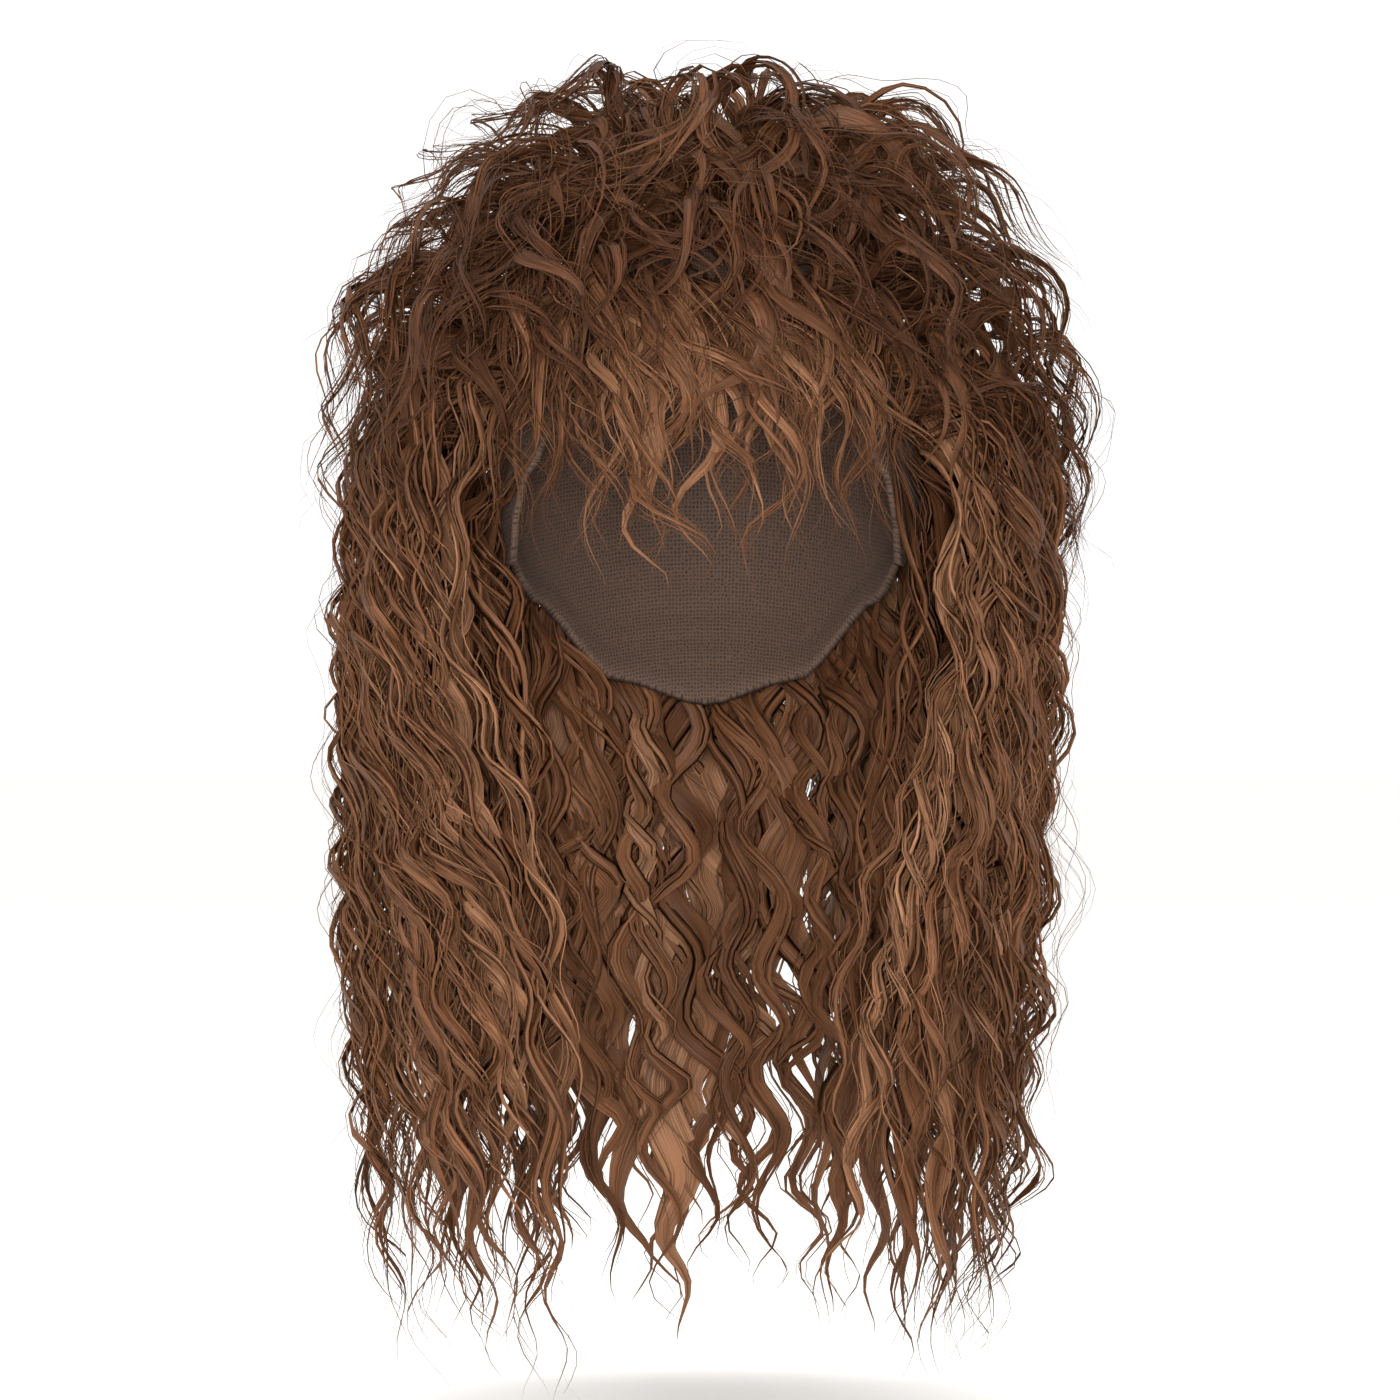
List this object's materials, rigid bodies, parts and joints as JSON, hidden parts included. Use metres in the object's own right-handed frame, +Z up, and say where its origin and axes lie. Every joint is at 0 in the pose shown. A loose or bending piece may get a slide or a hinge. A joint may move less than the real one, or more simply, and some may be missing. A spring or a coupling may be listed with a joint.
{
  "type": "curly wig",
  "caption": "Long layered curly wig: an open net cap for the head with rows of wavy hair sewn round it, a tousled crown, a wispy fringe and long hair at the sides and back.",
  "frame": {"origin": "in the middle of the head inside the cap, at the level of the temples, where the cap sits", "axes": "+Z up, +X to the wearer's left, -Y the way the wearer looks"},
  "size_m": [0.2726, 0.2462, 0.4632],
  "materials": {
    "cap_net": "matte knitted net",
    "hair_fringe": "satin synthetic fibre",
    "hair_crown": "satin synthetic fibre",
    "hair_length": "satin synthetic fibre"
  },
  "bodies": {
    "root": {"wig_cap": "cap_net", "fringe": "hair_fringe", "crown_top": "hair_crown", "crown_weft": "hair_crown", "side_weft_left": "hair_length", "side_weft_right": "hair_length", "side_under_left": "hair_length", "side_under_right": "hair_length", "back_weft": "hair_length", "nape_weft": "hair_length"}
  },
  "joints": []
}
